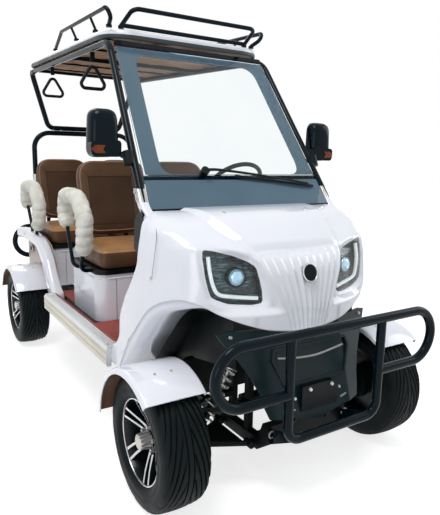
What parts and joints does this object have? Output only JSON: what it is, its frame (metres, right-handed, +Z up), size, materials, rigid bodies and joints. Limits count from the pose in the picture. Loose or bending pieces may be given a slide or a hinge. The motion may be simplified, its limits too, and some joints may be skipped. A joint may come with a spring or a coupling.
{
  "type": "golf cart",
  "caption": "Open electric golf cart with a roof, roof rack, raked windscreen, tube bumpers, steering and turning wheels.",
  "frame": {"origin": "on the ground under the middle of the whole cart's length and width", "axes": "+Z up, -Y forward, +X towards the vehicle's left"},
  "size_m": [1.466, 3.1499, 2.1192],
  "materials": {
    "body_white": "gloss moulded and lacquered glass-fibre, cool white",
    "dark_plastic": "satin moulded plastic, very dark green-grey",
    "black_plastic": "grained black moulding",
    "tube_black": "gloss black powder coat on steel tube",
    "chassis_black": "satin black chassis paint",
    "bare_steel": "zinc-plated steel",
    "motor_grey": "cast aluminium",
    "battery_black": "moulded case",
    "mat_red": "ribbed red-brown floor mat",
    "step_aluminium": "ribbed extrusion, champagne side",
    "lamp": "clear polycarbonate lens over a dark housing",
    "lamp_red": "moulded lens",
    "glass": "clear laminated pane with a tinted margin",
    "tinted_glass": "tinted pane",
    "wheel_rubber": "moulded grip",
    "lining_tan": "tan ribbed headlining",
    "leather_brown": "saddle-brown leathercloth with tan piping",
    "pad_cream": "cream padded sleeve wound round the tube",
    "panel_beige": "beige panel",
    "tyre": "black rubber",
    "alloy": "machined face, black pockets"
  },
  "bodies": {
    "chassis": {"steering_rack_housing": "chassis_black", "front_wishbones": "chassis_black", "front_shocks": "bare_steel", "frame_rails": "chassis_black", "frame_members": "chassis_black", "shock_towers": "chassis_black", "rear_axle": "chassis_black", "drive_motor": "motor_grey", "battery_pack": "battery_black", "rear_shocks": "bare_steel", "floor_pan": "black_plastic", "floor_mats": "mat_red", "side_steps": "step_aluminium", "front_cowl": "body_white", "headlamps": "lamp", "front_apron": "dark_plastic", "wheel_well_liners": "black_plastic", "front_bumper": "tube_black", "rear_bumper": "tube_black", "number_plate": "black_plastic", "windscreen_upper": "glass", "windscreen_lower": "tinted_glass", "windscreen_bars": "tube_black", "screen_posts": "tube_black", "dashboard": "black_plastic", "steering_column": "black_plastic", "pedals": "chassis_black", "door_mirrors": "black_plastic", "roof_shell": "body_white", "roof_lining": "lining_tan", "roof_rack": "tube_black", "grab_handles": "black_plastic", "rear_hoop_lower": "tube_black", "rear_hoop_upper": "tube_black", "seat_boxes": "body_white", "seat_trays": "black_plastic", "seat_frames": "chassis_black", "seat_cushions": "leather_brown", "seat_backs": "leather_brown", "armrest_pads": "pad_cream", "armrest_tubes": "tube_black", "rear_quarters": "body_white", "inner_quarters": "panel_beige", "tail_panel": "body_white", "marker_lamps": "lamp_red", "rear_mudguards": "body_white"},
    "steering": {"steering_wheel": "wheel_rubber"},
    "rack": {"track_rods": "bare_steel"},
    "knuckle_left": {"knuckle_left": "chassis_black", "front_mudguard_left": "body_white"},
    "knuckle_right": {"knuckle_right": "chassis_black", "front_mudguard_right": "body_white"},
    "wheel_front_left": {"tyre_front_left": "tyre", "rim_front_left": "alloy"},
    "wheel_front_right": {"tyre_front_right": "tyre", "rim_front_right": "alloy"},
    "wheel_rear_left": {"tyre_rear_left": "tyre", "rim_rear_left": "alloy"},
    "wheel_rear_right": {"tyre_rear_right": "tyre", "rim_rear_right": "alloy"}
  },
  "joints": [
    {"name": "steering_wheel_turn", "type": "hinge", "parent": "chassis", "child": "steering", "pos_m": [0.24, -0.44, 1.235], "axis": [0, 0.7071, 0.7071], "range_deg": [-448, 448]},
    {"name": "rack_slide", "type": "slide", "parent": "chassis", "child": "rack", "axis": [1, 0, 0], "range_m": [-0.0495, 0.0495]},
    {"name": "steer_left", "type": "hinge", "parent": "chassis", "child": "knuckle_left", "pos_m": [0.47, -1.18, 0.278], "axis": [0, 0, 1], "range_deg": [-28.5, 28.5]},
    {"name": "steer_right", "type": "hinge", "parent": "chassis", "child": "knuckle_right", "pos_m": [-0.47, -1.18, 0.278], "axis": [0, 0, 1], "range_deg": [-28.5, 28.5]},
    {"name": "spin_front_left", "type": "hinge", "parent": "knuckle_left", "child": "wheel_front_left", "pos_m": [0.591, -1.18, 0.278], "axis": [1, 0, 0], "continuous": true},
    {"name": "spin_front_right", "type": "hinge", "parent": "knuckle_right", "child": "wheel_front_right", "pos_m": [-0.591, -1.18, 0.278], "axis": [1, 0, 0], "continuous": true},
    {"name": "spin_rear_left", "type": "hinge", "parent": "chassis", "child": "wheel_rear_left", "pos_m": [0.591, 1.057, 0.278], "axis": [1, 0, 0], "continuous": true},
    {"name": "spin_rear_right", "type": "hinge", "parent": "chassis", "child": "wheel_rear_right", "pos_m": [-0.591, 1.057, 0.278], "axis": [1, 0, 0], "continuous": true}
  ],
  "couplings": [
    {"joint": "steer_left", "follows": "steering_wheel_turn", "ratio": 0.0625},
    {"joint": "steer_right", "follows": "steering_wheel_turn", "ratio": 0.0625},
    {"joint": "rack_slide", "follows": "steering_wheel_turn", "m_per_rad": -0.00625}
  ]
}
